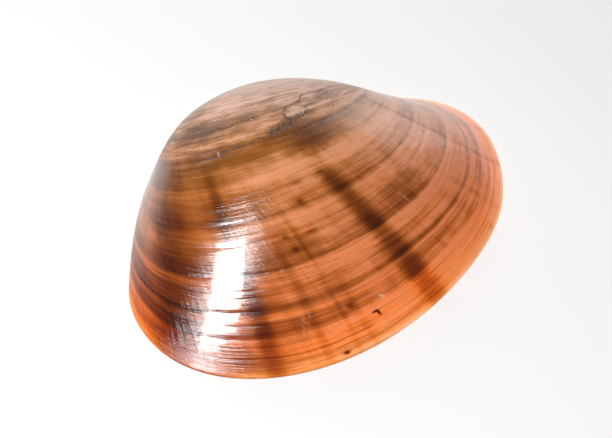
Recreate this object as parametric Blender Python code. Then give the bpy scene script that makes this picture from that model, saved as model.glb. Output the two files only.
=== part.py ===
"""Smooth clam: the right valve of a smooth Venus clam, empty, lying on its rim with its dome up.

Metres, +Z up. The origin is the centre of the valve's footprint, on the surface that it rests on.
+X points to the shell's front end, +Y to its hinge side.

The outside is one surface of growth. Today's rim is a flat outline. Each older rim is that outline made
smaller about one point, the pole, and turned about an axis through it, so that the rims pile up into a
dome that ends in a beak which leans forwards.
"""

from math import atan2, cos, exp, log, pi, radians, sin, tanh

import bmesh
import bpy
from mathutils import Matrix, Vector
from mathutils.bvhtree import BVHTree

# Rim outline, seen flat from the pole of growth at (0, 0)
RIM_LENGTH = 0.078
RIM_HEIGHT = 0.0531
RIM_MIDDLE = Vector((-0.0210, -0.0325, 0.0))
SLANT = 0.146
THREE_FOLD = Vector((-0.013, 0.023))
FOUR_FOLD = Vector((-0.024, -0.016))

# Growth, by age: 0 at the rim, rising towards the beak
TURN = 1.49
TURN_AGE = 0.763
UNCOIL = 0.095
AXIS_HEADING = radians(10.9)
AXIS_RISE = radians(40.2)
YOUNG_SHORTER = 0.479
YOUNG_TALLER = 0.443
BEAK_SIZE = 0.045
BEAK_LIFT = 0.0006
OLD_LOWER = 0.075
BEAK_AGE = 1.0
BEAK_CURL = 0.35

# Growth lines that stand out: size of the shell when each was made, and its depth
GROWTH_LINES = (
    (0.968, 0.00010),
    (0.938, 0.00014),
    (0.905, 0.00012),
    (0.870, 0.00016),
    (0.835, 0.00020),
    (0.782, 0.00014),
    (0.720, 0.00014),
    (0.640, 0.00012),
)
LINE_WIDTH = 0.010

# Wall, rim and hinge plate
RIM_WIDTH = 0.0013
WALL = 0.0021
UMBO_WALL = 0.0042
PLATE_DEPTH = 0.0068
PLATE_BEHIND = 0.040
PLATE_AHEAD = 0.020
PLATE_RECESS = 0.0014
RIM_WALL = 0.0009
LONG_AXIS = radians(8.0)

# Mesh
AROUND = 80
RINGS = 28
# Each ring of the inside: inset from the flat rim, share of the plate's depth, way to the middle, openness
INSIDE_RINGS = (
    (0.0, 0.0, 0.0, 0.0),
    (0.0007, 0.0, 0.0, 0.0),
    (0.0012, 0.5, 0.0, 0.0),
    (0.0020, 1.0, 0.0, 0.0),
    (0.0030, 1.0, 0.0, 0.55),
    (0.0046, 1.0, 0.0, 1.0),
    (0.0046, 1.0, 0.25, 1.0),
    (0.0046, 1.0, 0.50, 1.0),
    (0.0046, 1.0, 0.75, 1.0),
)

COLOUR = (0.36, 0.13, 0.045, 1.0)


def rim_point(angle):
    """A point of today's rim, at an angle about the rim's middle."""
    reach = 0.5 * (1.0 + SLANT * sin(2 * angle)
                   + THREE_FOLD.x * cos(3 * angle) + THREE_FOLD.y * sin(3 * angle)
                   + FOUR_FOLD.x * cos(4 * angle) + FOUR_FOLD.y * sin(4 * angle))
    return RIM_MIDDLE + Vector((RIM_LENGTH * reach * cos(angle), RIM_HEIGHT * reach * sin(angle), 0.0))


def grown(point, size):
    """Where a point of the rim was when the shell was this size, of 1 today."""
    age = log(1.0 / size)
    young = Vector((point.x * exp(-YOUNG_SHORTER * tanh(age)), point.y * exp(YOUNG_TALLER * tanh(age)), 0.0))
    axis = Vector((cos(AXIS_HEADING) * cos(AXIS_RISE), sin(AXIS_HEADING) * cos(AXIS_RISE), sin(AXIS_RISE)))
    in_beak = max(0.0, age - BEAK_AGE)
    turn = TURN * tanh(age / TURN_AGE) - UNCOIL * age + BEAK_CURL * in_beak ** 2 / (in_beak + 0.6)
    place = size * (Matrix.Rotation(-turn, 3, axis) @ young)
    place.z += (BEAK_LIFT - OLD_LOWER * place.z) * (1.0 - size)
    return place


def smooth_step(value):
    value = min(max(value, 0.0), 1.0)
    return value * value * (3.0 - 2.0 * value)


def ring_sizes():
    """The sizes at which the outside has a ring, and how far each ring is sunk or raised."""
    rings = {}
    for size, depth in GROWTH_LINES:
        rings[size + LINE_WIDTH] = 0.0
        rings[size] = -depth
        rings[size - LINE_WIDTH] = 0.4 * depth
    for step in range(1, RINGS + 1):
        size = BEAK_SIZE ** ((step / RINGS) ** 1.35)
        if min(abs(size - other) for other in rings) > LINE_WIDTH * 1.2:
            rings[size] = 0.0
    return sorted(rings.items(), reverse=True)


def extend(bm, edges):
    """Extrude an open loop once and give back the new loop's corners and edges."""
    new = bmesh.ops.extrude_edge_only(bm, edges=edges)["geom"]
    verts = [item for item in new if isinstance(item, bmesh.types.BMVert)]
    ends = set(verts)
    edges = [item for item in new if isinstance(item, bmesh.types.BMEdge) and ends.issuperset(item.verts)]
    return verts, edges


def build_valve():
    """The whole valve as one closed mesh."""
    angles = [2 * pi * step / AROUND for step in range(AROUND)]
    rim = [rim_point(angle) for angle in angles]

    bm = bmesh.new()
    corner = bm.verts.layers.int.new("corner")
    loop = [bm.verts.new(point) for point in rim]
    for index, vert in enumerate(loop):
        vert[corner] = index
    rim_edges = [bm.edges.new((loop[i], loop[(i + 1) % AROUND])) for i in range(AROUND)]

    # Outside, from the rim back to the beak. Extruding keeps each corner's number.
    heights = {}
    edges = rim_edges
    for size, height in ring_sizes():
        verts, edges = extend(bm, edges)
        for vert in verts:
            vert.co = grown(rim[vert[corner]], size)
            heights[vert] = height
    bmesh.ops.pointmerge(bm, verts=verts, merge_co=grown(RIM_MIDDLE, BEAK_SIZE * 0.6))
    bmesh.ops.recalc_face_normals(bm, faces=bm.faces)
    bm.normal_update()
    outward = 1.0 if max(bm.faces, key=lambda face: face.calc_center_median().z).normal.z > 0 else -1.0
    for vert, height in heights.items():
        if vert.is_valid:
            fade = smooth_step((vert.co.length - 0.008) / 0.012)
            vert.co += vert.normal * outward * height * fade
    dome = BVHTree.FromBMesh(bm)

    # Inside, from the rim in to the middle. The third ring is the hinge plate's edge.
    pole_angle = atan2(-RIM_MIDDLE.y / RIM_HEIGHT, -RIM_MIDDLE.x / RIM_LENGTH)
    beak_foot = rim_point(pole_angle)
    edges = rim_edges
    for inset, plate_share, inward, openness in INSIDE_RINGS:
        verts, edges = extend(bm, edges)
        for vert in verts:
            edge_point = rim[vert[corner]]
            depth = plate_depth(edge_point, beak_foot)
            reach = (RIM_MIDDLE - edge_point).length
            start = RIM_WIDTH + inset + plate_share * depth
            place = start + inward * (reach - start)
            vert.co = edge_point.lerp(RIM_MIDDLE, place / reach)
            vert.co.z = ceiling(dome, vert.co, place, depth, openness, beak_foot)
    middle = RIM_MIDDLE.copy()
    middle.z = ceiling(dome, middle, 0.03, 0.0, 1.0, beak_foot)
    bmesh.ops.pointmerge(bm, verts=verts, merge_co=middle)
    bmesh.ops.recalc_face_normals(bm, faces=bm.faces)

    mesh = bpy.data.meshes.new("valve")
    bm.to_mesh(mesh)
    bm.free()
    return mesh, beak_foot


def plate_depth(edge_point, beak_foot):
    """How far the hinge plate reaches in from the rim: deepest under the beak, none along the open margin."""
    along = (edge_point - beak_foot).length
    ends = PLATE_BEHIND if edge_point.x < beak_foot.x else PLATE_AHEAD
    return PLATE_DEPTH * max(0.0, 1.0 - (along / ends) ** 2) ** 2


def ceiling(dome, point, inset, depth, openness, beak_foot):
    """Height of the inside above the rim's plane: flat rim, hinge plate, then the hollow under the dome."""
    past_rim = inset - RIM_WIDTH
    if past_rim <= 0.0:
        return 0.0
    hit, normal, _, _ = dome.ray_cast(Vector((point.x, point.y, 1e-5)), Vector((0.0, 0.0, 1.0)))
    near_beak = smooth_step(1.0 - (point - beak_foot).xy.length / 0.030)
    wall = WALL + (UMBO_WALL - WALL) * near_beak
    wall = RIM_WALL + (wall - RIM_WALL) * smooth_step(past_rim / 0.010)
    hollow = max(hit.z - wall / max(abs(normal.z), 0.45), 0.08 * past_rim)
    plate = min(PLATE_RECESS * smooth_step(past_rim / 0.0010), 0.5 * hit.z)
    closed = smooth_step(depth / 0.0045) * (1.0 - openness)
    return hollow + (plate - hollow) * closed


def tooth(name, foot, offset, heading, length, width):
    """One hinge tooth: a half-sunk lens on the hinge plate, stopping short of the rim's plane."""
    bpy.ops.mesh.primitive_uv_sphere_add(segments=14, ring_count=8, radius=0.5)
    lens = bpy.context.active_object
    lens.name = name
    lens.data.transform(Matrix.Diagonal((length, width, 0.0030, 1.0)))
    lens.data.transform(Matrix.Rotation(heading, 4, "Z"))
    lens.data.transform(Matrix.Translation(Vector((foot.x + offset[0], foot.y + offset[1], 0.00185))))
    lens.hide_render = True
    lens.display_type = "WIRE"
    return lens


def move_to(obj, collection):
    for other in list(obj.users_collection):
        other.objects.unlink(obj)
    collection.objects.link(obj)


def main():
    for obj in list(bpy.data.objects):
        bpy.data.objects.remove(obj, do_unlink=True)
    parts = bpy.data.collections.new("smooth_clam")
    cutters = bpy.data.collections.new("cutters")
    bpy.context.scene.collection.children.link(parts)
    bpy.context.scene.collection.children.link(cutters)

    mesh, beak_foot = build_valve()
    valve = bpy.data.objects.new("valve", mesh)
    parts.objects.link(valve)

    # The three main teeth spread from under the beak, and a low ridge behind them carried the ligament
    teeth = (
        tooth("front_tooth", beak_foot, (0.0012, -0.0042), radians(-38), 0.0046, 0.0013),
        tooth("middle_tooth", beak_foot, (-0.0022, -0.0046), radians(-82), 0.0052, 0.0017),
        tooth("hind_tooth", beak_foot, (-0.0068, -0.0044), radians(-142), 0.0086, 0.0016),
    )
    for lens in teeth:
        move_to(lens, cutters)
        joined = valve.modifiers.new(lens.name, "BOOLEAN")
        joined.operation = "UNION"
        joined.object = lens

    # Lay the long axis along X and put the footprint's middle on the origin
    turned = Matrix.Rotation(-LONG_AXIS, 4, "Z")
    corners = [turned @ vert.co for vert in mesh.vertices]
    middle = Vector((
        0.5 * (min(co.x for co in corners) + max(co.x for co in corners)),
        0.5 * (min(co.y for co in corners) + max(co.y for co in corners)),
        0.0,
    ))
    place = Matrix.Translation(-middle) @ turned
    for item in (valve, *teeth):
        item.data.transform(place)

    shell = bpy.data.materials.new("shell")
    shell.use_nodes = True
    surface = shell.node_tree.nodes["Principled BSDF"]
    surface.inputs["Base Color"].default_value = COLOUR
    surface.inputs["Roughness"].default_value = 0.16
    surface.inputs["Metallic"].default_value = 0.0
    mesh.materials.append(shell)
    mesh.shade_smooth()
    mesh.set_sharp_from_angle(angle=radians(40))


main()
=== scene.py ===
"""Smooth clam: the look of one right valve, empty, lying on its rim with its dome up.

Metres, +Z up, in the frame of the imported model. +X points to the shell's front end, +Y to its hinge side.

The shell is one piece that follows a rule of growth: each older rim is today's rim made smaller about one
point, the pole, and turned about an axis through it. Geometry Nodes build it from that rule, and every point
keeps its place in the growth (its way round the rim, and the shell's size when it was made), so that the
materials can lay their bands, rays and scratches along the growth as the animal did.
"""

from math import atan2, cos, e, pi, radians, sin

import bmesh
import bpy
from mathutils import Matrix, Vector


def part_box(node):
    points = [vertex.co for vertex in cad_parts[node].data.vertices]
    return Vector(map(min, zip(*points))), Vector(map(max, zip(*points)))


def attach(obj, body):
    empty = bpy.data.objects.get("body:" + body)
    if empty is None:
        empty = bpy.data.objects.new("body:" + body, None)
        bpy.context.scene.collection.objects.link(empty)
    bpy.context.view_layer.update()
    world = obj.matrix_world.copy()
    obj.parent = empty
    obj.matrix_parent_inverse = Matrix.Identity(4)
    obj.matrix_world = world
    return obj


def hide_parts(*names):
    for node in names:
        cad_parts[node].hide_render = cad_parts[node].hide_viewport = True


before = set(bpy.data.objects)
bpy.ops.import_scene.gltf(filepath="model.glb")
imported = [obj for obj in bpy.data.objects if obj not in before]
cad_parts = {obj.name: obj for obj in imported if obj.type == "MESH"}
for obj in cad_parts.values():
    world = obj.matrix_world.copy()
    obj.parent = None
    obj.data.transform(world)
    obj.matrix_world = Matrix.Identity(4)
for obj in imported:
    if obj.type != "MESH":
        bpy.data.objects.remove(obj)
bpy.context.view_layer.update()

# Rim outline, seen flat from the pole of growth at (0, 0)
RIM_LENGTH = 0.078
RIM_HEIGHT = 0.0531
RIM_MIDDLE = Vector((-0.0210, -0.0325, 0.0))
SLANT = 0.146
THREE_FOLD = Vector((-0.013, 0.023))
FOUR_FOLD = Vector((-0.024, -0.016))
LONG_AXIS = radians(8.0)

# Growth, by age: 0 at the rim, rising towards the beak
TURN = 1.49
TURN_AGE = 0.763
UNCOIL = 0.095
AXIS_HEADING = radians(10.9)
AXIS_RISE = radians(40.2)
YOUNG_SHORTER = 0.479
YOUNG_TALLER = 0.443
BEAK_SIZE = 0.045
BEAK_LIFT = 0.0006
OLD_LOWER = 0.075
BEAK_AGE = 1.0
BEAK_CURL = 0.35
CURL_EASE = 0.6

# Wall, rim and hinge plate
RIM_WIDTH = 0.0013
RIM_WALL = 0.0009
WALL = 0.0021
UMBO_WALL = 0.0042
PLATE_DEPTH = 0.0068
PLATE_BEHIND = 0.040
PLATE_AHEAD = 0.020
PLATE_RECESS = 0.0014
PLATE_START = 0.0012
PLATE_SOFT_END = 0.0030
PLATE_WHOLE_FROM = 0.0045
PLATE_STEP = 0.0010
PLATE_ROOF_SHARE = 0.5

# The hollow: how far the beak's thick wall reaches, how far in from the rim the wall is whole, the least
# flatness of the dome that it is reckoned with, and how much its ceiling rises at least
UMBO_REACH = 0.030
WALL_GROWS_OVER = 0.010
LEAST_SLOPE = 0.45
LEAST_RISE = 0.08

# Growth lines that stand out: size of the shell when each was made, its depth and its width
GROWTH_LINES = (
    (0.968, 0.00002, 0.0035),
    (0.938, 0.00003, 0.0035),
    (0.917, 0.00002, 0.0035),
    (0.894, 0.00004, 0.0035),
    (0.873, 0.00002, 0.0035),
    (0.861, 0.00003, 0.0035),
    (0.835, 0.00004, 0.0035),
    (0.782, 0.00004, 0.0040),
    (0.745, 0.00004, 0.0035),
    (0.720, 0.00003, 0.0040),
    (0.640, 0.00004, 0.0050),
    (0.605, 0.00006, 0.0040),
)
# The lip on each line's older side: how far back in widths, its sharpness and its share of the depth
LIP_BACK = 1.4
LIP_SHARPNESS = 0.7
LIP_SHARE = 0.45
# Relief fades out towards the beak's tip and at the rim's very edge, by the shell's size
RELIEF_FROM_TIP = (0.12, 0.35)
RELIEF_TO_RIM = (1.0, 0.995)
# Low ridges between them: height, and how often they change round the rim and back to the beak
RIDGE_HEIGHT = 0.00006
RIDGES_ROUND = 0.5
RIDGES_BACK = 34.0

# Hinge teeth: middle from the foot of the beak, heading, length and width
TEETH = (
    (Vector((0.0012, -0.0042, 0.0)), radians(-38.0), 0.0046, 0.0013),
    (Vector((-0.0022, -0.0046, 0.0)), radians(-82.0), 0.0052, 0.0017),
    (Vector((-0.0068, -0.0044, 0.0)), radians(-142.0), 0.0086, 0.0016),
)
# Height of a tooth's middle line and of its lowest edge, its points along and round, how full its ends are,
# and the nearness to the rim that it is painted for
TOOTH_MIDDLE = 0.00185
TOOTH_TIP = 0.00035
TOOTH_STATIONS = 15
TOOTH_CORNERS = 14
TOOTH_FULLNESS = 0.7
TOOTH_NEARNESS = 0.86

# Mesh
AROUND = 320
OUTSIDE_RINGS = 238
INSIDE_RINGS = 58
RIM_RINGS = 6
RING_CROWDING = 1.5
TIP_SHRINK = 0.4
MERGE_DISTANCE = 1e-6
LAST_RING_FROM = 0.9999
LOOK_UP_FROM = 1e-5

# Degrees round the rim: the beak, and where the hind side, its tip and its far end begin and are full. The
# hind side is painted darker, partly its own colour and partly painted shade of a side that is lit less
BEAK_DEGREES = 66.0
HIND_SIDE_DARK_AND_SHADE = (-88.0, -128.0)
HIND_TIP = (-128.0, -145.0)
HIND_END = (-270.0, -200.0)
# The shell's size where its wear and its margin begin and are full
WORN = (0.64, 0.56)
MARGIN = (0.945, 0.975)

# Noise along the growth: how often it changes round the rim and back to the beak, its detail, roughness and
# shift, and by how much it swings
GRAINS = {
    "band_wander": (2.5, 7.0, 3.0, 0.6, 0.0, 0.012),
    "band_strength": (1.3, 5.0, 3.0, 0.6, 3.0, 1.0),
    "fine": (1.6, 100.0, 4.0, 0.65, 7.0, 1.9),
    "hair": (3.0, 420.0, 2.0, 0.5, 11.0, 0.6),
    "radial": (70.0, 4.0, 2.0, 0.6, 5.0, 0.40),
    "broad_radial": (14.0, 3.0, 2.0, 0.5, 31.0, 0.60),
    "cloud": (7.0, 34.0, 3.0, 0.6, 13.0, 0.9),
    "streaks": (3.5, 110.0, 5.0, 0.75, 37.0, 4.0),
    "broad_streaks": (1.6, 60.0, 2.0, 0.5, 53.0, 3.0),
    "ragged_round": (6.0, 20.0, 3.0, 0.6, 17.0, 16.0),
    "ragged_back": (8.0, 30.0, 4.0, 0.65, 19.0, 0.05),
    "line_wander": (4.0, 20.0, 2.0, 0.5, 23.0, 0.006),
    "line_gaps": (5.0, 40.0, 2.0, 0.6, 29.0, 1.0),
    "rings": (1.2, 90.0, 3.0, 0.65, 47.0, 1.0),
    "golden": (1.8, 110.0, 3.0, 0.6, 43.0, 1.0),
    "crumbs": (40.0, 220.0, 4.0, 0.7, 41.0, 1.0),
    "fleck_wander": (3.0, 70.0, 2.0, 0.5, 59.0, 3.0),
    "relief_along": (4.0, 260.0, 3.0, 0.6, 2.0, 1.0),
    "relief_across": (360.0, 5.0, 1.0, 0.5, 9.0, 26.0),
    "lining_wander": (3.0, 6.0, 2.0, 0.5, 4.0, 0.03),
    "lining_cloud": (2.0, 4.0, 3.0, 0.6, 9.0, 1.0),
    "lining_lines": (1.5, 140.0, 3.0, 0.6, 15.0, 0.5),
}

# Pigment: how much of red, green and blue each unit takes away, and its amount by the shell's size then
BROWN = (0.90, 1.18, 2.10)
ORANGE = (0.05, 0.40, 1.60)
BAND_UNIT = 1.5
LEAST_BROWN = 0.30
BAND_PIGMENT = (
    (0.30, 0.45), (0.40, 0.30), (0.50, 0.34), (0.528, 0.60), (0.547, 0.50), (0.556, 0.22), (0.590, 0.20),
    (0.604, 0.80), (0.640, 0.55), (0.662, 0.50), (0.672, 0.12), (0.690, 0.14), (0.706, 0.42),
    (0.732, 0.50), (0.746, 0.74), (0.752, 0.30), (0.778, 0.26), (0.797, 0.42), (0.812, 0.66), (0.834, 0.88),
    (0.838, 0.14), (0.858, 0.16), (0.863, 0.50), (0.868, 0.36), (0.888, 0.42), (0.892, 0.95), (0.898, 0.80),
    (0.901, 0.20), (0.910, 0.16), (0.914, 0.58), (0.936, 0.54), (0.942, 0.06))
GROUND = (
    (0.40, (0.60, 0.35, 0.27)),
    (0.52, (0.68, 0.36, 0.27)),
    (0.62, (0.76, 0.34, 0.17)),
    (0.75, (0.84, 0.30, 0.14)),
    (0.93, (0.93, 0.27, 0.11)),
    (0.97, (0.97, 0.27, 0.09)),
    (1.00, (0.98, 0.34, 0.14)),
)
# Painted glow at the thin margin: emission that stands in for light coming through it
PAINTED_GLOW = (
    (0.80, (0.0, 0.0, 0.0)),
    (0.90, (0.11, 0.027, 0.006)),
    (0.96, (0.27, 0.065, 0.015)),
    (0.988, (0.34, 0.11, 0.035)),
    (1.00, (0.55, 0.28, 0.16)),
)

# Thin lines in the gloss: size of the shell when each was made, and how strong it is
THIN_LINES = (
    (0.989, 0.5), (0.979, 0.9), (0.969, 1.0), (0.960, 0.5), (0.952, 0.6), (0.938, 0.8), (0.928, 0.4),
    (0.917, 0.8), (0.904, 0.5), (0.894, 1.2), (0.885, 0.4), (0.873, 0.5), (0.861, 1.0), (0.850, 0.7),
    (0.835, 1.2), (0.826, 0.5), (0.805, 0.5), (0.782, 0.7), (0.765, 0.4), (0.745, 0.8), (0.720, 0.5),
    (0.690, 0.4), (0.667, 0.5), (0.640, 0.6), (0.605, 0.8), (0.580, 0.4), (0.520, 0.5))
LINE_INPUTS = ("At", "Strength")

# Rays: where each meets the rim in degrees, its lean, half width, strength and the size that it fades below
RAYS = (
    (-150.0, 24.0, 10.0, 1.00, 0.73),
    (-126.0, 26.0, 2.3, 0.95, 0.70),
    (-80.4, 24.0, 4.4, 1.40, 0.74),
    (-113.2, 24.0, 1.3, 0.40, 0.85),
    (-106.0, 24.0, 0.8, 0.30, 0.80),
    (-102.0, 24.0, 1.2, 0.20, 0.85),
    (-45.0, 22.0, 5.0, 0.12, 0.70),
    (-33.0, 20.0, 2.0, 0.25, 0.80),
    (-7.0, 28.0, 1.6, 0.50, 0.60),
    (14.0, 24.0, 2.0, 0.30, 0.70),
)
RAY_INPUTS = ("At", "Lean", "Half_Width", "Strength", "Fades_From")
RAY_SHARPNESS = 2.6
RAY_FADES_OVER = 0.1
# Rays are paler at the rim, by the shell's size, from the first strength to the second
RAY_AT_RIM = (0.93, 0.98, 1.0, 0.72)

# Patches that are darker or paler than the rest: degrees, size, half width in each, and pigment added
PATCHES = (
    (-38.0, 0.885, 26.0, 0.055, -0.45),
    (-20.0, 0.800, 30.0, 0.040, -0.20),
    (-90.0, 0.890, 5.5, 0.060, -0.35),
    (-100.0, 0.800, 8.0, 0.030, 0.45),
    (-52.0, 0.797, 13.0, 0.020, 0.80),
    (-27.0, 0.800, 12.0, 0.030, -0.30),
    (-91.0, 0.738, 4.5, 0.012, 0.60),
    (-148.0, 0.650, 16.0, 0.045, 0.40),
    (-160.0, 0.985, 12.0, 0.018, 0.40),
    (-178.0, 0.880, 16.0, 0.050, 0.50),
    (-150.0, 0.905, 14.0, 0.055, 0.25),
    (-61.0, 0.634, 17.0, 0.032, 1.25),
    (-152.0, 0.945, 12.0, 0.040, 0.60),
    (-134.0, 0.975, 10.0, 0.020, 0.70),
    (-95.0, 0.632, 22.0, 0.024, 0.30),
    (-110.0, 0.880, 7.0, 0.020, -0.25),
    (-97.0, 0.768, 9.0, 0.016, -0.35),
    (-98.0, 0.700, 14.0, 0.016, 0.35),
    (-88.0, 0.678, 16.0, 0.010, -0.35),
    (-70.0, 0.930, 16.0, 0.022, -0.35),
    (-64.0, 0.598, 24.0, 0.026, 0.90),
    (-60.0, 0.562, 14.0, 0.020, 0.70),
    (-79.0, 0.475, 10.0, 0.040, 0.45),
    (-115.0, 0.520, 12.0, 0.020, 0.50),
    (-112.0, 0.590, 14.0, 0.018, 0.35),
    (-132.0, 0.565, 8.0, 0.020, -0.30),
)

# Dark spots, likewise
SPOTS = (
    (-109.0, 0.990, 0.7, 0.0026, 2.6),
    (-96.5, 0.955, 0.4, 0.0045, 3.0),
    (-97.2, 0.951, 0.8, 0.0018, 2.6),
    (-6.5, 0.775, 0.8, 0.0030, 1.6),
    (-134.0, 0.902, 0.6, 0.0030, 1.6),
    (-101.5, 0.925, 1.0, 0.0040, 1.4),
    (-104.0, 0.812, 1.2, 0.0040, 1.0),
    (-96.0, 0.793, 2.0, 0.0030, 0.8),
    (-104.5, 0.789, 1.0, 0.0030, 1.1),
    (-92.0, 0.740, 1.6, 0.0060, 1.0),
    (-88.0, 0.706, 2.5, 0.0030, 0.7),
    (-76.0, 0.704, 2.0, 0.0030, 0.7),
    (-63.0, 0.952, 0.6, 0.0020, 0.6),
    (-96.0, 0.850, 1.5, 0.0030, 0.6),
)
# Pale scratches and flecks, likewise
FLECKS = (
    (-93.0, 0.935, 0.5, 0.0040, 0.7),
    (-114.8, 0.934, 0.20, 0.0080, 0.22),
    (-113.4, 0.922, 0.18, 0.0110, 0.16),
    (-111.6, 0.915, 0.22, 0.0060, 0.20),
    (-57.0, 0.825, 0.25, 0.0100, 0.35),
    (-108.0, 0.600, 0.5, 0.0050, 0.60),
)
# Dirt along the old growth lines: degrees from and to, size from and to, half width and strength
DIRT = (
    (-122.0, -78.0, 0.607, 0.589, 0.0060, 0.75),
    (-80.0, -46.0, 0.588, 0.564, 0.0120, 1.30),
    (-64.0, -60.0, 0.556, 0.535, 0.0060, 0.90),
    (-58.0, -46.0, 0.530, 0.522, 0.0050, 0.90),
    (-44.0, -37.0, 0.520, 0.500, 0.0045, 1.00),
    (-31.0, -27.0, 0.534, 0.534, 0.0050, 1.00),
    (-22.0, -12.0, 0.510, 0.500, 0.0040, 0.80),
    (-34.0, -14.0, 0.600, 0.537, 0.0030, 0.60),
    (-118.0, -80.0, 0.538, 0.530, 0.0045, 0.80),
    (-112.0, -86.0, 0.497, 0.492, 0.0035, 0.60),
)
DIRT_INPUTS = ("From", "To", "Size_From", "Size_To", "Half_Width", "Strength")
DIRT_COLOUR = (0.045, 0.020, 0.009, 1.0)
FLECK_COLOUR = (0.95, 0.66, 0.48, 1.0)
WORN_PATCHES = (
    (-55.0, 0.553, 9.0, 0.020, 1.0),
)
PATCH_INPUTS = ("At", "At_Size", "Half_Round", "Half_Back", "Strength")

# Gloss
OUTSIDE_IOR = 1.6
OUTSIDE_COAT_ROUGHNESS = 0.06
INSIDE_COAT = 0.3
INSIDE_COAT_ROUGHNESS = 0.1
# Bump heights are in thousandths of a millimetre
BUMP_UNIT = 0.000001

# Lining, by nearness to the rim: 1 at the rim, 0 at the middle
LINING = (
    (0.00, (0.86, 0.70, 0.58)),
    (0.45, (0.88, 0.78, 0.70)),
    (0.80, (0.88, 0.80, 0.73)),
    (0.90, (0.87, 0.68, 0.54)),
    (0.96, (0.88, 0.52, 0.32)),
    (1.00, (0.90, 0.42, 0.20)),
)
LINING_CLOUD_COLOUR = (0.90, 0.70, 0.56, 1.0)
LINING_SHADE_COLOUR = (0.62, 0.40, 0.28, 1.0)
MANTLE_LINE = 0.80
MANTLE_LINE_WIDTH = 0.010
# Muscle scars: degrees, nearness to the rim, half width in each, and strength
SCARS = (
    (30.0, 0.66, 13.0, 0.10, 1.0),
    (-202.0, 0.68, 10.0, 0.10, 1.0),
)

# Camera, lights and floor
AIM = Vector((-0.0073, -0.0066, 0.0084))
EYE_AZIMUTH = radians(-41.89)
EYE_ELEVATION = radians(42.03)
EYE_DISTANCE = 0.3525
LENS = 122.5
SHELL_TOP = Vector((0.0, 0.0, 0.012))
# Softboxes: azimuth, elevation, distance, width, height, brightness and roll, in degrees and metres
SOFTBOXES = {
    "key": (-95.6, 56.7, 0.6, 0.156, 0.21, 38.0, -40.0),
    "left_panel": (172.0, 27.0, 1.0, 0.50, 0.60, 1.2, 0.0),
    "right_panel": (134.0, 15.0, 1.1, 1.30, 0.56, 1.4, 0.0),
}
WORLD_STRENGTH = 0.08
FLOOR_COLOUR = (0.94, 0.94, 0.94, 1.0)
FLOOR_ROUGHNESS = 0.6
FLOOR_HALF_SIDE = 2.0


class Term:
    """One value in a node tree. Arithmetic on it adds the nodes that work it out."""

    def __init__(self, tree, socket):
        self.tree = tree
        self.socket = socket

    def math(self, operation, *others):
        return add(self.tree, "ShaderNodeMath", (self, *others), operation=operation)

    def __add__(self, other):
        return self.math("ADD", other)

    def __sub__(self, other):
        return self.math("SUBTRACT", other)

    def __mul__(self, other):
        return self.math("MULTIPLY", other)

    def __truediv__(self, other):
        return self.math("DIVIDE", other)

    def __pow__(self, other):
        return self.math("POWER", other)

    def __radd__(self, other):
        return self + other

    def __rmul__(self, other):
        return self * other

    def __rsub__(self, other):
        return add(self.tree, "ShaderNodeMath", (other, self), operation="SUBTRACT")

    def smooth(self, start=0.0, end=1.0, low=0.0, high=1.0):
        """Go smoothly from low to high while this value goes from start to end."""
        settings = {"interpolation_type": "SMOOTHSTEP"}
        return add(self.tree, "ShaderNodeMapRange", (self, start, end, low, high), **settings)

    def parts(self):
        """The x, y and z of a vector."""
        node = add(self.tree, "ShaderNodeSeparateXYZ", (self,)).socket.node
        return [Term(self.tree, output) for output in node.outputs]


def add(tree, kind, inputs=(), output=0, **settings):
    """Add a node, feed its inputs by order or by name, and give back one of its outputs."""
    node = tree.nodes.new(kind)
    for name, value in settings.items():
        setattr(node, name, value)
    pairs = inputs.items() if isinstance(inputs, dict) else enumerate(inputs)
    for key, value in pairs:
        if isinstance(value, Term):
            tree.links.new(value.socket, node.inputs[key])
        else:
            node.inputs[key].default_value = value
    return Term(tree, node.outputs[output])


def vector(tree, x, y, z):
    return add(tree, "ShaderNodeCombineXYZ", (x, y, z))


def new_group(name, kind, inputs, outputs):
    """A node group with named inputs and outputs. Gives the group, and its inputs by name."""
    group = bpy.data.node_groups.new(name, kind)
    for label, socket_type, default in inputs:
        socket = group.interface.new_socket(label, in_out="INPUT", socket_type=socket_type)
        if default is not None:
            socket.default_value = default
    for label, socket_type in outputs:
        group.interface.new_socket(label, in_out="OUTPUT", socket_type=socket_type)
    entry = group.nodes.new("NodeGroupInput")
    group.nodes.new("NodeGroupOutput")
    return group, {label: Term(group, entry.outputs[label]) for label, _, _ in inputs}


def finish_group(group, **results):
    """Link each result to the group's output of that name, with spaces for underscores."""
    end = next(node for node in group.nodes if node.bl_idname == "NodeGroupOutput")
    for name, term in results.items():
        group.links.new(term.socket, end.inputs[name.replace("_", " ")])


# Growth


def rim_point(angle):
    """A point of today's rim, at an angle about the rim's middle."""
    reach = 0.5 * (1.0 + SLANT * sin(2 * angle)
                   + THREE_FOLD.x * cos(3 * angle) + THREE_FOLD.y * sin(3 * angle)
                   + FOUR_FOLD.x * cos(4 * angle) + FOUR_FOLD.y * sin(4 * angle))
    return RIM_MIDDLE + Vector((RIM_LENGTH * reach * cos(angle), RIM_HEIGHT * reach * sin(angle), 0.0))


def rim_group():
    """Today's rim as nodes: the point at an angle about the rim's middle."""
    number = "NodeSocketFloat"
    group, given = new_group(
        "rim_outline", "GeometryNodeTree",
        [("Angle", number, 0.0), ("Length", number, RIM_LENGTH), ("Height", number, RIM_HEIGHT),
         ("Slant", number, SLANT)],
        [("X", number), ("Y", number)])
    angle = given["Angle"]
    waves = given["Slant"] * (angle * 2.0).math("SINE")
    for count, share in ((3, THREE_FOLD), (4, FOUR_FOLD)):
        turned = angle * float(count)
        waves = waves + share.x * turned.math("COSINE") + share.y * turned.math("SINE")
    reach = 0.5 * (waves + 1.0)
    finish_group(
        group,
        X=RIM_MIDDLE.x + given["Length"] * reach * angle.math("COSINE"),
        Y=RIM_MIDDLE.y + given["Height"] * reach * angle.math("SINE"))
    return group


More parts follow.
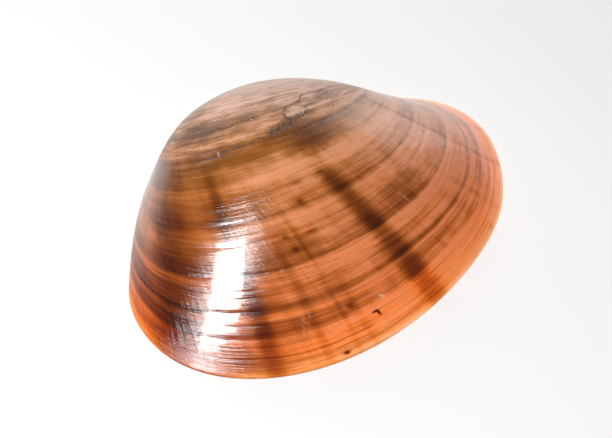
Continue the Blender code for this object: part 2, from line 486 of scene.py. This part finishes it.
def growth_group():
    """The rule of growth as nodes: where a point of the rim was when the shell was some size, of 1 today."""
    number = "NodeSocketFloat"
    group, given = new_group(
        "growth", "GeometryNodeTree",
        [("X", number, 0.0), ("Y", number, 0.0), ("Size", number, 1.0), ("Turn", number, TURN),
         ("Turn Age", number, TURN_AGE), ("Uncoil", number, UNCOIL), ("Beak Curl", number, BEAK_CURL),
         ("Young Shorter", number, YOUNG_SHORTER), ("Young Taller", number, YOUNG_TALLER),
         ("Beak Lift", number, BEAK_LIFT), ("Old Lower", number, OLD_LOWER)],
        [("Place", "NodeSocketVector")])
    size = given["Size"]
    age = size.math("LOGARITHM", e) * -1.0
    changed = age.math("TANH")
    x = given["X"] * (given["Young Shorter"] * changed * -1.0).math("EXPONENT")
    y = given["Y"] * (given["Young Taller"] * changed).math("EXPONENT")
    in_beak = (age - BEAK_AGE).math("MAXIMUM", 0.0)
    curl = given["Beak Curl"] * in_beak * in_beak / (in_beak + CURL_EASE)
    turn = given["Turn"] * (age / given["Turn Age"]).math("TANH") - given["Uncoil"] * age + curl
    axis = (cos(AXIS_HEADING) * cos(AXIS_RISE), sin(AXIS_HEADING) * cos(AXIS_RISE), sin(AXIS_RISE))
    turned = add(group, "ShaderNodeVectorRotate", {
        "Vector": vector(group, x, y, 0.0),
        "Axis": axis,
        "Angle": turn * -1.0,
    }, rotation_type="AXIS_ANGLE")
    x, y, z = turned.parts()
    z = z * size
    z = z + (given["Beak Lift"] - given["Old Lower"] * z) * (1.0 - size)
    finish_group(group, Place=vector(group, x * size, y * size, z))
    return group


def line_group():
    """One growth line: a groove with a lip on its older side, as a height over the size of the shell."""
    number = "NodeSocketFloat"
    group, given = new_group(
        "growth_line", "GeometryNodeTree",
        [("Size", number, 1.0), ("At", number, 0.9), ("Depth", number, 0.0001), ("Width", number, 0.006)],
        [("Height", number)])
    way = (given["Size"] - given["At"]) / given["Width"]
    groove = (way * way * -1.0).math("EXPONENT") * -1.0
    older = way + LIP_BACK
    lip = (older * older * -LIP_SHARPNESS).math("EXPONENT") * LIP_SHARE
    finish_group(group, Height=(groove + lip) * given["Depth"])
    return group


def relief(tree, size, round_x, round_y):
    """Height of the outside's growth lines and low ridges over the smooth dome."""
    line = line_group()
    height = None
    for at, depth, width in GROWTH_LINES:
        one = place_group(tree, line, Size=size, At=at, Depth=depth, Width=width)
        height = one if height is None else height + one
    along = vector(tree, round_x * RIDGES_ROUND, round_y * RIDGES_ROUND, size * RIDGES_BACK)
    ridges = add(tree, "ShaderNodeTexNoise", {"Vector": along, "Scale": 1.0, "Detail": 3.0, "Roughness": 0.6})
    return height + (ridges - 0.5) * RIDGE_HEIGHT


def place_group(tree, group, output=0, **inputs):
    """Put a node group in a tree, feeding its inputs by name, with spaces for underscores."""
    kind = "GeometryNodeGroup" if tree.bl_idname == "GeometryNodeTree" else "ShaderNodeGroup"
    node = tree.nodes.new(kind)
    node.node_tree = group
    for name, value in inputs.items():
        socket = node.inputs[name.replace("_", " ")]
        if isinstance(value, Term):
            tree.links.new(value.socket, socket)
        else:
            socket.default_value = value
    return Term(tree, node.outputs[output])


def grid(tree, around, rings):
    """A flat grid whose points also say how far round (0 to 1) and how far in (0 to 1) they are."""
    sheet = add(tree, "GeometryNodeMeshGrid", {
        "Size X": 1.0, "Size Y": 1.0, "Vertices X": around, "Vertices Y": rings})
    x, y, _ = add(tree, "GeometryNodeInputPosition").parts()
    return sheet, x + 0.5, y + 0.5


def store(tree, geometry, name, value, data_type="FLOAT_VECTOR"):
    return add(tree, "GeometryNodeStoreNamedAttribute", {
        "Geometry": geometry, "Name": name, "Value": value}, data_type=data_type, domain="POINT")


def rim_place(tree, rim, angle):
    """The x and y of today's rim at an angle."""
    x = place_group(tree, rim, 0, Angle=angle)
    return x, Term(tree, x.socket.node.outputs[1])


def hinge_foot():
    """The point of today's rim that is under the beak."""
    return rim_point(atan2(-RIM_MIDDLE.y / RIM_HEIGHT, -RIM_MIDDLE.x / RIM_LENGTH))


def grow_outside(tree, given, rim, growth):
    """The dome: rings from the rim back to the beak, which closes to one point, with its growth lines."""
    sheet, along, back = grid(tree, given["Around"] + 1.0, given["Outside Rings"])
    angle = along * (2 * pi)
    size = 1.0 - back * (1.0 - given["Beak Size"])
    x, y = rim_place(tree, rim, angle)
    last = back.math("GREATER_THAN", LAST_RING_FROM)
    x = x + (RIM_MIDDLE.x - x) * last
    y = y + (RIM_MIDDLE.y - y) * last
    size = size * (1.0 - last * TIP_SHRINK)
    sheet = store(tree, sheet, "growth", vector(tree, angle.math("COSINE"), angle.math("SINE"), size))
    place = place_group(tree, growth, X=x, Y=y, Size=size)
    dome = add(tree, "GeometryNodeSetPosition", {"Geometry": sheet, "Position": place})
    dome = add(tree, "GeometryNodeMergeByDistance", {"Geometry": dome, "Distance": MERGE_DISTANCE})

    round_x, round_y, kept_size = add(
        tree, "GeometryNodeInputNamedAttribute", {"Name": "growth"}, data_type="FLOAT_VECTOR").parts()
    fade = kept_size.smooth(*RELIEF_FROM_TIP) * kept_size.smooth(*RELIEF_TO_RIM)
    height = relief(tree, kept_size, round_x, round_y) * fade * given["Relief"]
    normal = add(tree, "GeometryNodeInputNormal")
    push = add(tree, "ShaderNodeVectorMath", {0: normal, "Scale": height}, operation="SCALE")
    return add(tree, "GeometryNodeSetPosition", {"Geometry": dome, "Offset": push})


def plate_depth(tree, given, x, y):
    """How far in the hinge plate reaches from a point of the rim: most under the beak, none opposite it."""
    foot = hinge_foot()
    off_x = x - foot.x
    off_y = y - foot.y
    ends = PLATE_AHEAD + (PLATE_BEHIND - PLATE_AHEAD) * off_x.math("LESS_THAN", 0.0)
    near = (1.0 - (off_x * off_x + off_y * off_y) / (ends * ends)).math("MAXIMUM", 0.0)
    return given["Plate Depth"] * near ** 2.0


def roof_over(tree, dome, x, y):
    """The dome's height over a point, and how flat it is there."""
    hit = tree.nodes.new("GeometryNodeRaycast")
    hit.data_type = "FLOAT"
    tree.links.new(dome.socket, hit.inputs["Target Geometry"])
    tree.links.new(vector(tree, x, y, LOOK_UP_FROM).socket, hit.inputs["Source Position"])
    hit.inputs["Ray Direction"].default_value = (0.0, 0.0, 1.0)
    hit.inputs["Ray Length"].default_value = 1.0
    roof = Term(tree, hit.outputs["Hit Position"]).parts()[2]
    flatness = Term(tree, hit.outputs["Hit Normal"]).parts()[2].math("ABSOLUTE").math("MAXIMUM", LEAST_SLOPE)
    return roof, flatness


def hollow_height(tree, given, roof, flatness, x, y, past_rim):
    """The hollow's ceiling. It keeps a wall under the dome, thickest near the beak and thin at the rim."""
    foot = hinge_foot()
    gap_x = x - foot.x
    gap_y = y - foot.y
    near_beak = (1.0 - (gap_x * gap_x + gap_y * gap_y).math("SQRT") / UMBO_REACH).smooth()
    wall = given["Wall"] + (given["Umbo Wall"] - given["Wall"]) * near_beak
    wall = given["Rim Wall"] + (wall - given["Rim Wall"]) * past_rim.smooth(0.0, WALL_GROWS_OVER)
    return (roof - wall / flatness).math("MAXIMUM", past_rim * LEAST_RISE)


def grow_inside(tree, given, rim, dome):
    """The rim's flat band, the hinge plate and the hollow: rings from the rim in to its middle."""
    sheet, along, inward = grid(tree, given["Around"] + 1.0, given["Inside Rings"])
    angle = along * (2 * pi)
    edge_x, edge_y = rim_place(tree, rim, angle)
    to_x = RIM_MIDDLE.x - edge_x
    to_y = RIM_MIDDLE.y - edge_y
    reach = (to_x * to_x + to_y * to_y).math("SQRT")
    # The first rings lie on the rim's flat band, and the others reach from it to the middle
    band = given["Rim Rings"] / (given["Inside Rings"] - 1.0)
    on_band = (inward / band).math("MINIMUM", 1.0)
    beyond = ((inward - band) / (1.0 - band)).math("MAXIMUM", 0.0) ** RING_CROWDING
    inset = given["Rim Width"] * on_band + (reach - given["Rim Width"]) * beyond
    share = inset / reach
    x = edge_x + to_x * share
    y = edge_y + to_y * share
    past_rim = inset - given["Rim Width"]

    depth = plate_depth(tree, given, edge_x, edge_y)
    openness = (past_rim - depth - PLATE_START).smooth(0.0, PLATE_SOFT_END)
    closed = depth.smooth(0.0, PLATE_WHOLE_FROM) * (1.0 - openness)
    roof, flatness = roof_over(tree, dome, x, y)
    hollow = hollow_height(tree, given, roof, flatness, x, y, past_rim)
    plate = given["Plate Recess"] * past_rim.smooth(0.0, PLATE_STEP)
    plate = plate.math("MINIMUM", roof * PLATE_ROOF_SHARE)
    ceiling = (hollow + (plate - hollow) * closed) * past_rim.math("GREATER_THAN", MERGE_DISTANCE)
    sheet = store(tree, sheet, "growth", vector(tree, angle.math("COSINE"), angle.math("SINE"), 1.0 - share))
    bowl = add(tree, "GeometryNodeSetPosition", {"Geometry": sheet, "Position": vector(tree, x, y, ceiling)})
    bowl = add(tree, "GeometryNodeMergeByDistance", {"Geometry": bowl, "Distance": MERGE_DISTANCE})
    return add(tree, "GeometryNodeFlipFaces", (bowl,))


def build_tree(outside_paint, inside_paint):
    """The whole valve: the outside from the rim back to the beak, and the inside from the rim inwards."""
    whole = "NodeSocketInt"
    number = "NodeSocketFloat"
    tree, given = new_group(
        "valve_growth", "GeometryNodeTree",
        [("Geometry", "NodeSocketGeometry", None), ("Around", whole, AROUND),
         ("Outside Rings", whole, OUTSIDE_RINGS), ("Inside Rings", whole, INSIDE_RINGS),
         ("Rim Rings", whole, RIM_RINGS), ("Beak Size", number, BEAK_SIZE), ("Rim Width", number, RIM_WIDTH),
         ("Rim Wall", number, RIM_WALL), ("Wall", number, WALL), ("Umbo Wall", number, UMBO_WALL),
         ("Plate Depth", number, PLATE_DEPTH), ("Plate Recess", number, PLATE_RECESS),
         ("Relief", number, 1.0)],
        [("Geometry", "NodeSocketGeometry")])
    rim = rim_group()
    dome = grow_outside(tree, given, rim, growth_group())
    bowl = grow_inside(tree, given, rim, dome)
    dome = add(tree, "GeometryNodeSetMaterial", {"Geometry": dome, "Material": outside_paint})
    bowl = add(tree, "GeometryNodeSetMaterial", {"Geometry": bowl, "Material": inside_paint})
    both = add(tree, "GeometryNodeJoinGeometry")
    tree.links.new(bowl.socket, both.socket.node.inputs[0])
    tree.links.new(dome.socket, both.socket.node.inputs[0])
    both = add(tree, "GeometryNodeMergeByDistance", {"Geometry": both, "Distance": MERGE_DISTANCE})
    both = add(tree, "GeometryNodeSetShadeSmooth", (both,))
    both = add(tree, "GeometryNodeRealizeInstances", (both,))
    finish_group(tree, Geometry=both)
    return tree


def bake(name, tree, **values):
    """Run a tree with these inputs on an empty mesh and keep the result as a plain mesh."""
    start = bpy.data.objects.new(name + "_start", bpy.data.meshes.new(name + "_start"))
    bpy.context.scene.collection.objects.link(start)
    modifier = start.modifiers.new("growth", "NODES")
    modifier.node_group = tree
    for item in tree.interface.items_tree:
        if item.in_out == "INPUT" and item.name.replace(" ", "_") in values:
            modifier[item.identifier] = values[item.name.replace(" ", "_")]
    graph = bpy.context.evaluated_depsgraph_get()
    mesh = bpy.data.meshes.new_from_object(start.evaluated_get(graph), depsgraph=graph)
    mesh.name = name
    start.modifiers.remove(modifier)
    bpy.data.objects.remove(start, do_unlink=True)
    obj = bpy.data.objects.new(name, mesh)
    bpy.context.scene.collection.objects.link(obj)
    return obj


def tooth_rings(middle, heading, length, width):
    """The points of one tooth: a lens half sunk in the hinge plate, pointed at both ends."""
    way = Vector((cos(heading), sin(heading), 0.0))
    side = Vector((-way.y, way.x, 0.0))
    rings = []
    for station in range(TOOTH_STATIONS):
        along = station / (TOOTH_STATIONS - 1)
        swell = sin(pi * along) ** TOOTH_FULLNESS
        ring = []
        for corner in range(TOOTH_CORNERS):
            turn = 2 * pi * corner / TOOTH_CORNERS
            place = middle + way * (length * (along - 0.5)) + side * (0.5 * width * swell * cos(turn))
            down = (TOOTH_MIDDLE - TOOTH_TIP) * swell * sin(turn)
            ring.append(Vector((place.x, place.y, TOOTH_MIDDLE - down)))
        rings.append(ring)
    return rings


def add_tooth(bm, growth, rings, paint):
    """Skin one tooth's points, and give them their place in the growth."""
    verts = [[bm.verts.new(co) for co in ring] for ring in rings[1:-1]]
    first = bm.verts.new(rings[0][0])
    last = bm.verts.new(rings[-1][0])
    for vert in [first, last] + [vert for ring in verts for vert in ring]:
        off = vert.co - RIM_MIDDLE
        angle = atan2(off.y / RIM_HEIGHT, off.x / RIM_LENGTH)
        vert[growth] = Vector((cos(angle), sin(angle), TOOTH_NEARNESS))
    faces = []
    for corner in range(TOOTH_CORNERS):
        after = (corner + 1) % TOOTH_CORNERS
        faces.append(bm.faces.new((first, verts[0][after], verts[0][corner])))
        for near, far in zip(verts, verts[1:]):
            faces.append(bm.faces.new((near[corner], near[after], far[after], far[corner])))
        faces.append(bm.faces.new((last, verts[-1][corner], verts[-1][after])))
    for face in faces:
        face.material_index = paint
        face.smooth = True
    bmesh.ops.recalc_face_normals(bm, faces=faces)


def add_teeth(mesh):
    """Add the three teeth, which fan out under the beak, to the inside's paint."""
    names = [material.name if material else None for material in mesh.materials]
    bm = bmesh.new()
    bm.from_mesh(mesh)
    growth = bm.verts.layers.float_vector["growth"]
    for offset, heading, length, width in TEETH:
        rings = tooth_rings(hinge_foot() + offset, heading, length, width)
        add_tooth(bm, growth, rings, names.index("inside"))
    bm.to_mesh(mesh)
    bm.free()


# Materials


class Surface:
    """Where a material's points are in the growth, and the node groups that it is painted with.

    Across and up are the cosine and sine of the way round the rim. Degrees run down from the beak, by the
    front end, the open margin and the hind end, to the beak again. Size is the shell's size when that part
    was made, and on the inside the nearness to the rim."""

    def __init__(self, tree, groups):
        self.tree = tree
        self.groups = groups
        place = add(tree, "ShaderNodeAttribute", output="Vector", attribute_name="growth")
        self.across, self.up, self.size = place.parts()
        degrees = self.up.math("ARCTAN2", self.across) * (180.0 / pi)
        self.degrees = degrees - degrees.math("GREATER_THAN", BEAK_DEGREES) * 360.0

    def noise(self, name):
        """Noise along the growth, from 0 to 1."""
        rounds, back, detail, roughness, shift, _ = GRAINS[name]
        return place_group(
            self.tree, self.groups["grain"], Across=self.across, Up=self.up, Size=self.size, Round=rounds,
            Back=back, Detail=detail, Roughness=roughness, Shift=shift)

    def swing(self, name):
        """The same noise about 0, by as much as the table says."""
        return (self.noise(name) - 0.5) * GRAINS[name][-1]

    def total(self, group, inputs, rows, **shared):
        """Place a node group once for each row of values, and add up what they give."""
        total = None
        for row in rows:
            one = place_group(self.tree, self.groups[group], **shared, **dict(zip(inputs, row)))
            total = one if total is None else total + one
        return total


def grain_group():
    """Noise drawn out along the growth lines or across them, by how often it changes in each direction."""
    number = "NodeSocketFloat"
    group, given = new_group(
        "shell_grain", "ShaderNodeTree",
        [("Across", number, 1.0), ("Up", number, 0.0), ("Size", number, 1.0), ("Round", number, 2.0),
         ("Back", number, 60.0), ("Detail", number, 3.0), ("Roughness", number, 0.6), ("Shift", number, 0.0)],
        [("Value", number)])
    place = vector(
        group,
        given["Across"] * given["Round"],
        given["Up"] * given["Round"],
        given["Size"] * given["Back"] + given["Shift"])
    noise = add(group, "ShaderNodeTexNoise", {
        "Vector": place, "Scale": 1.0, "Detail": given["Detail"], "Roughness": given["Roughness"]})
    finish_group(group, Value=noise)
    return group


def ray_group():
    """One ray of pigment from the beak to the rim: where it ends, how it leans, its width and strength."""
    number = "NodeSocketFloat"
    group, given = new_group(
        "pigment_ray", "ShaderNodeTree",
        [("Degrees", number, 0.0), ("Size", number, 1.0), ("At", number, 0.0), ("Lean", number, 24.0),
         ("Half Width", number, 4.0), ("Strength", number, 1.0), ("Fades From", number, 0.6)],
        [("Amount", number)])
    middle = given["At"] + given["Lean"] * (1.0 - given["Size"])
    way = (given["Degrees"] - middle) / given["Half Width"]
    body = (way.math("ABSOLUTE") ** RAY_SHARPNESS * -1.0).math("EXPONENT")
    lasts = given["Size"].smooth(given["Fades From"] - RAY_FADES_OVER, given["Fades From"])
    paler_at_rim = given["Size"].smooth(*RAY_AT_RIM)
    finish_group(group, Amount=body * lasts * paler_at_rim * given["Strength"])
    return group


def thin_line_group():
    """One thin line along the rim, by the shell's size when it was made."""
    number = "NodeSocketFloat"
    group, given = new_group(
        "thin_line", "ShaderNodeTree",
        [("Size", number, 1.0), ("At", number, 0.9), ("Width", number, 0.0013), ("Strength", number, 1.0)],
        [("Amount", number)])
    way = (given["Size"] - given["At"]) / given["Width"]
    finish_group(group, Amount=(way * way * -1.0).math("EXPONENT") * given["Strength"])
    return group


def patch_group():
    """A soft patch along the growth: where it is, its half widths and its strength."""
    number = "NodeSocketFloat"
    group, given = new_group(
        "patch", "ShaderNodeTree",
        [("Degrees", number, 0.0), ("Size", number, 1.0), ("At", number, 0.0), ("At Size", number, 0.5),
         ("Half Round", number, 10.0), ("Half Back", number, 0.02), ("Strength", number, 1.0)],
        [("Amount", number)])
    round_way = (given["Degrees"] - given["At"]) / given["Half Round"]
    back_way = (given["Size"] - given["At Size"]) / given["Half Back"]
    way = round_way * round_way + back_way * back_way
    finish_group(group, Amount=(way * -1.0).math("EXPONENT") * given["Strength"])
    return group


def stroke_group():
    """A stroke along the growth, from one place to another."""
    number = "NodeSocketFloat"
    group, given = new_group(
        "stroke", "ShaderNodeTree",
        [("Degrees", number, 0.0), ("Size", number, 1.0), ("From", number, -90.0), ("To", number, -60.0),
         ("Size From", number, 0.6), ("Size To", number, 0.58), ("Half Width", number, 0.005),
         ("Strength", number, 1.0)],
        [("Amount", number)])
    share = (given["Degrees"] - given["From"]) / (given["To"] - given["From"])
    held = share.math("MAXIMUM", 0.0).math("MINIMUM", 1.0)
    past_end = (share - held) * (given["To"] - given["From"]) / 2.0
    way = given["Size"] - given["Size From"] - held * (given["Size To"] - given["Size From"])
    way = way / given["Half Width"]
    fall = (way * way + past_end * past_end) * -1.0
    finish_group(group, Amount=fall.math("EXPONENT") * given["Strength"])
    return group


def mix_colour(tree, share, first, second):
    """Go from the first colour to the second as the share goes from 0 to 1."""
    return add(tree, "ShaderNodeMix", {0: share, 6: first, 7: second}, output=2, data_type="RGBA")


def pigment_group():
    """Pigment over a ground colour. Brown takes away more blue than green and more green than red; orange
    takes away mostly blue."""
    group, given = new_group(
        "pigment", "ShaderNodeTree",
        [("Ground", "NodeSocketColor", (0.85, 0.30, 0.12, 1.0)), ("Brown", "NodeSocketFloat", 0.0),
         ("Orange", "NodeSocketFloat", 0.0)],
        [("Color", "NodeSocketColor")])
    ground = add(group, "ShaderNodeSeparateColor", {"Color": given["Ground"]}).socket.node
    kept = []
    for channel, brown, orange in zip(ground.outputs, BROWN, ORANGE):
        passes = (given["Brown"] * -brown - given["Orange"] * orange).math("EXPONENT")
        kept.append(Term(group, channel) * passes)
    finish_group(group, Color=add(group, "ShaderNodeCombineColor", kept))
    return group


def ramp(tree, value, stops, colours=False):
    """A colour ramp. Each stop is a place and a grey level or a colour."""
    node = tree.nodes.new("ShaderNodeValToRGB")
    elements = node.color_ramp.elements
    while len(elements) > 1:
        elements.remove(elements[-1])
    for index, (place, level) in enumerate(sorted(stops)):
        element = elements[0] if index == 0 else elements.new(place)
        element.position = place
        element.color = (*level, 1.0) if colours else (level, level, level, 1.0)
    tree.links.new(value.socket, node.inputs["Fac"])
    return Term(tree, node.outputs["Color"])


def new_material(name):
    material = bpy.data.materials.new(name)
    material.use_nodes = True
    shader = material.node_tree.nodes["Principled BSDF"]
    return material, material.node_tree, shader


def link_bump(tree, shader, height):
    """Bump from heights in thousandths of a millimetre."""
    bump = add(tree, "ShaderNodeBump", {"Height": height, "Strength": 1.0, "Distance": BUMP_UNIT})
    tree.links.new(bump.socket, shader.inputs["Normal"])


def thin_lines(surface):
    """Thin lines along the rim, which come and go."""
    size = surface.size + surface.swing("line_wander")
    gaps = surface.noise("line_gaps").smooth(0.35, 0.62, 0.15, 1.0)
    return surface.total("line", LINE_INPUTS, THIN_LINES, Size=size) * gaps


def hind_share(surface, start):
    """How far a point is on the hind side, from where it starts to the far end behind the beak."""
    return surface.degrees.smooth(*start) * surface.degrees.smooth(*HIND_END)


def brown_pigment(surface, ragged, rays, thin, worn):
    """Growth bands, rays, patches, spots and lines of brown, darker on the hind side: partly the shell's own
    colour there and partly painted shade, since that side is lit less.
    """
    size = surface.size
    # Bands wander a little along the rim
    bands = ramp(surface.tree, size + surface.swing("band_wander"), BAND_PIGMENT)
    strength = surface.noise("band_strength").smooth(0.3, 0.7, 0.55, 1.15)
    radial = (surface.swing("radial") + surface.swing("broad_radial")) * size.smooth(0.60, 0.75, 0.3, 1.0)
    streaks = (surface.swing("streaks") + surface.swing("broad_streaks")) * size.smooth(0.25, 0.50, 0.35, 1.0)
    streaks = (streaks + size.smooth(0.44, 0.54, -0.20, 0.25)) * worn
    amount = bands * BAND_UNIT * strength + surface.swing("fine") + surface.swing("hair") + radial
    amount = amount + surface.swing("cloud") + streaks

    # Rays are strongest where they cross a dark band
    amount = amount + rays * (bands * 0.6 + 0.78)
    amount = amount + surface.total("patch", PATCH_INPUTS, PATCHES, **ragged)
    amount = amount + surface.total("patch", PATCH_INPUTS, SPOTS, Degrees=surface.degrees, Size=size)
    amount = amount + thin * size.smooth(0.92, 0.95, 0.40, 0.65)
    # Painted shade: the hind side is made darker, partly its own colour and partly shade of a side that is
    # lit less
    amount = amount + hind_share(surface, HIND_SIDE_DARK_AND_SHADE) * size.smooth(0.99, 0.93, 0.65, 0.80) - LEAST_BROWN
    rings = surface.noise("rings").smooth(0.50, 0.72) * size.smooth(0.74, 0.84) * 0.45
    return amount.math("SMOOTH_MAX", 0.0, 0.5) + rings


def orange_pigment(surface, rays):
    """Orange where the rays reach the margin, in fine golden lines and along the hind end's edge."""
    size = surface.size
    in_rays = rays * size.smooth(0.91, 0.96, 0.0, 1.1)
    golden = surface.noise("golden").smooth(0.50, 0.68) * size.smooth(0.52, 0.60)
    hind_edge = hind_share(surface, HIND_TIP) * size.smooth(0.90, 0.95)
    return in_rays + golden * 0.35 + hind_edge * 0.6


def old_dirt(surface, ragged, crumbs):
    """Crumbs of dirt held in the old growth lines."""
    size = ragged["Size"] * 0.3 + surface.size * 0.7
    strokes = surface.total("stroke", DIRT_INPUTS, DIRT, Degrees=surface.degrees, Size=size)
    return (strokes * crumbs.smooth(0.40, 0.60, 0.15, 1.5)).smooth(0.25, 1.05, 0.0, 0.9)


def pale_flecks(surface, ragged):
    """A worn patch near the beak, and scratches and flecks in the gloss."""
    patches = surface.total("patch", PATCH_INPUTS, WORN_PATCHES, **ragged).smooth(0.35, 0.75, 0.0, 0.35)
    degrees = surface.degrees + surface.swing("fleck_wander")
    return patches + surface.total("patch", PATCH_INPUTS, FLECKS, Degrees=degrees, Size=surface.size)


def outside_relief(surface, thin, dirt, crumbs, worn):
    """Fine relief in the gloss, along the growth and across it, in thousandths of a millimetre."""
    along = (surface.noise("relief_along") - 0.5) * surface.size.smooth(0.92, 0.97, 45.0, 75.0)
    grooves = thin * surface.degrees.smooth(-60.0, -20.0, 16.0, 30.0)
    return (along + surface.swing("relief_across") - grooves
            + dirt * (crumbs - 0.7) * 60.0 + (crumbs - 0.5) * worn * 40.0)


def outside_material(groups):
    """Glossy chestnut shell: growth bands, rays, fine lines both ways, a worn beak and an orange margin with
    a painted glow.
    """
    material, tree, shader = new_material("outside")
    surface = Surface(tree, groups)
    size = surface.size
    worn = size.smooth(*WORN)
    margin = size.smooth(*MARGIN)
    ragged = {
        "Degrees": surface.degrees + surface.swing("ragged_round"),
        "Size": size + surface.swing("ragged_back"),
    }
    rays = surface.total("ray", RAY_INPUTS, RAYS, Degrees=surface.degrees, Size=size)
    thin = thin_lines(surface)
    crumbs = surface.noise("crumbs")
    dirt = old_dirt(surface, ragged, crumbs)
    brown = brown_pigment(surface, ragged, rays, thin, worn)
    orange = orange_pigment(surface, rays)

    ground = ramp(tree, size, GROUND, colours=True)
    colour = place_group(tree, groups["pigment"], Ground=ground, Brown=brown, Orange=orange)
    colour = mix_colour(tree, pale_flecks(surface, ragged).math("MINIMUM", 1.0), colour, FLECK_COLOUR)
    colour = mix_colour(tree, dirt.math("MINIMUM", 1.0), colour, DIRT_COLOUR)
    tree.links.new(colour.socket, shader.inputs["Base Color"])

    rough = (worn * 0.20 + 0.14 + margin * 0.08 + dirt * 0.4).math("MINIMUM", 0.8)
    coat = (0.4 - worn * 0.3 - margin * 0.3 - dirt * 0.3).math("MAXIMUM", 0.0)
    tree.links.new(rough.socket, shader.inputs["Roughness"])
    tree.links.new(coat.socket, shader.inputs["Coat Weight"])
    shader.inputs["IOR"].default_value = OUTSIDE_IOR
    shader.inputs["Coat Roughness"].default_value = OUTSIDE_COAT_ROUGHNESS
    link_bump(tree, shader, outside_relief(surface, thin, dirt, crumbs, worn))

    # Painted glow: the thin margin emits light as if lit through, less where pigment or dirt is in its way
    painted_glow = ramp(tree, size, PAINTED_GLOW, colours=True)
    painted_glow = place_group(tree, groups["pigment"], Ground=painted_glow, Brown=brown + dirt * 4.0, Orange=orange)
    tree.links.new(painted_glow.socket, shader.inputs["Emission Color"])
    shader.inputs["Emission Strength"].default_value = 1.0
    return material


def inside_material(groups):
    """Smooth porcelain lining: an orange edge, fine lines, the mantle's line and two glossy muscle scars."""
    material, tree, shader = new_material("inside")
    surface = Surface(tree, groups)
    nearness = surface.size + surface.swing("lining_wander")
    lines = surface.swing("lining_lines")
    mantle = place_group(
        tree, groups["line"], Size=nearness, At=MANTLE_LINE, Width=MANTLE_LINE_WIDTH, Strength=1.0)
    scars = surface.total("patch", PATCH_INPUTS, SCARS, Degrees=surface.degrees, Size=nearness)
    scars = scars.smooth(0.30, 0.42)

    cloud = surface.noise("lining_cloud").smooth(0.35, 0.7, 0.0, 0.5)
    colour = mix_colour(tree, cloud, ramp(tree, nearness, LINING, colours=True), LINING_CLOUD_COLOUR)
    shade = (mantle * 0.18 + scars * 0.22 + lines * 0.2).math("MAXIMUM", 0.0)
    colour = mix_colour(tree, shade, colour, LINING_SHADE_COLOUR)
    tree.links.new(colour.socket, shader.inputs["Base Color"])

    rough = 0.30 - scars * 0.14 + lines * 0.1
    tree.links.new(rough.socket, shader.inputs["Roughness"])
    shader.inputs["Coat Weight"].default_value = INSIDE_COAT
    shader.inputs["Coat Roughness"].default_value = INSIDE_COAT_ROUGHNESS
    link_bump(tree, shader, lines * 40.0 - scars * 90.0 - mantle * 50.0)
    return material


# Stage


def look_at(obj, place, target):
    obj.location = place
    obj.rotation_euler = (target - place).to_track_quat("-Z", "Y").to_euler()


def direction(azimuth, elevation):
    """The way out from the middle. Azimuth 0 is in front, on -Y, and a quarter turn is on +X."""
    return Vector((sin(azimuth) * cos(elevation), -cos(azimuth) * cos(elevation), sin(elevation)))


def build_camera():
    data = bpy.data.cameras.new("camera")
    data.lens = LENS
    data.sensor_width = 36.0
    data.clip_start = 0.01
    camera = bpy.data.objects.new("camera", data)
    bpy.context.scene.collection.objects.link(camera)
    look_at(camera, AIM + EYE_DISTANCE * direction(EYE_AZIMUTH, EYE_ELEVATION), AIM)
    bpy.context.scene.camera = camera


def softbox(name, azimuth, elevation, distance, width, height, brightness, roll):
    """A rectangle of light that faces the shell. Its brightness is its surface's, 1 being paper white."""
    data = bpy.data.lights.new(name, "AREA")
    data.shape = "RECTANGLE"
    data.size = width
    data.size_y = height
    data.energy = brightness * pi * width * height
    light = bpy.data.objects.new(name, data)
    bpy.context.scene.collection.objects.link(light)
    look_at(light, SHELL_TOP + distance * direction(radians(azimuth), radians(elevation)), SHELL_TOP)
    light.rotation_euler.rotate_axis("Z", radians(roll))


def build_floor():
    mesh = bpy.data.meshes.new("floor")
    bm = bmesh.new()
    bmesh.ops.create_grid(bm, x_segments=1, y_segments=1, size=FLOOR_HALF_SIDE)
    bm.to_mesh(mesh)
    bm.free()
    floor = bpy.data.objects.new("floor", mesh)
    bpy.context.scene.collection.objects.link(floor)
    material, _, shader = new_material("floor")
    shader.inputs["Base Color"].default_value = FLOOR_COLOUR
    shader.inputs["Roughness"].default_value = FLOOR_ROUGHNESS
    mesh.materials.append(material)


def build_world():
    world = bpy.data.worlds.new("studio")
    world.use_nodes = True
    background = world.node_tree.nodes["Background"]
    background.inputs["Color"].default_value = (1.0, 1.0, 1.0, 1.0)
    background.inputs["Strength"].default_value = WORLD_STRENGTH
    bpy.context.scene.world = world


def fit_to_frame(obj):
    """Lay the long axis along X and put the footprint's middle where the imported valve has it."""
    obj.data.transform(Matrix.Rotation(-LONG_AXIS, 4, "Z"))
    low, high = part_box("valve")
    mine = [Vector(vert.co) for vert in obj.data.vertices]
    middle = Vector((
        0.5 * (min(co.x for co in mine) + max(co.x for co in mine)),
        0.5 * (min(co.y for co in mine) + max(co.y for co in mine)),
        min(co.z for co in mine),
    ))
    target = Vector((0.5 * (low.x + high.x), 0.5 * (low.y + high.y), low.z))
    obj.data.transform(Matrix.Translation(target - middle))


def main():
    groups = {
        "grain": grain_group(),
        "line": thin_line_group(),
        "patch": patch_group(),
        "ray": ray_group(),
        "stroke": stroke_group(),
        "pigment": pigment_group(),
    }
    tree = build_tree(outside_material(groups), inside_material(groups))
    shell = bake(
        "shell", tree, Around=AROUND, Outside_Rings=OUTSIDE_RINGS, Inside_Rings=INSIDE_RINGS,
        Rim_Rings=RIM_RINGS, Relief=1.0)
    add_teeth(shell.data)
    fit_to_frame(shell)
    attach(shell, "root")
    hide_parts("valve")

    build_floor()
    build_world()
    build_camera()
    for name, settings in SOFTBOXES.items():
        softbox(name, *settings)
    bpy.context.scene.view_settings.view_transform = "Standard"


main()
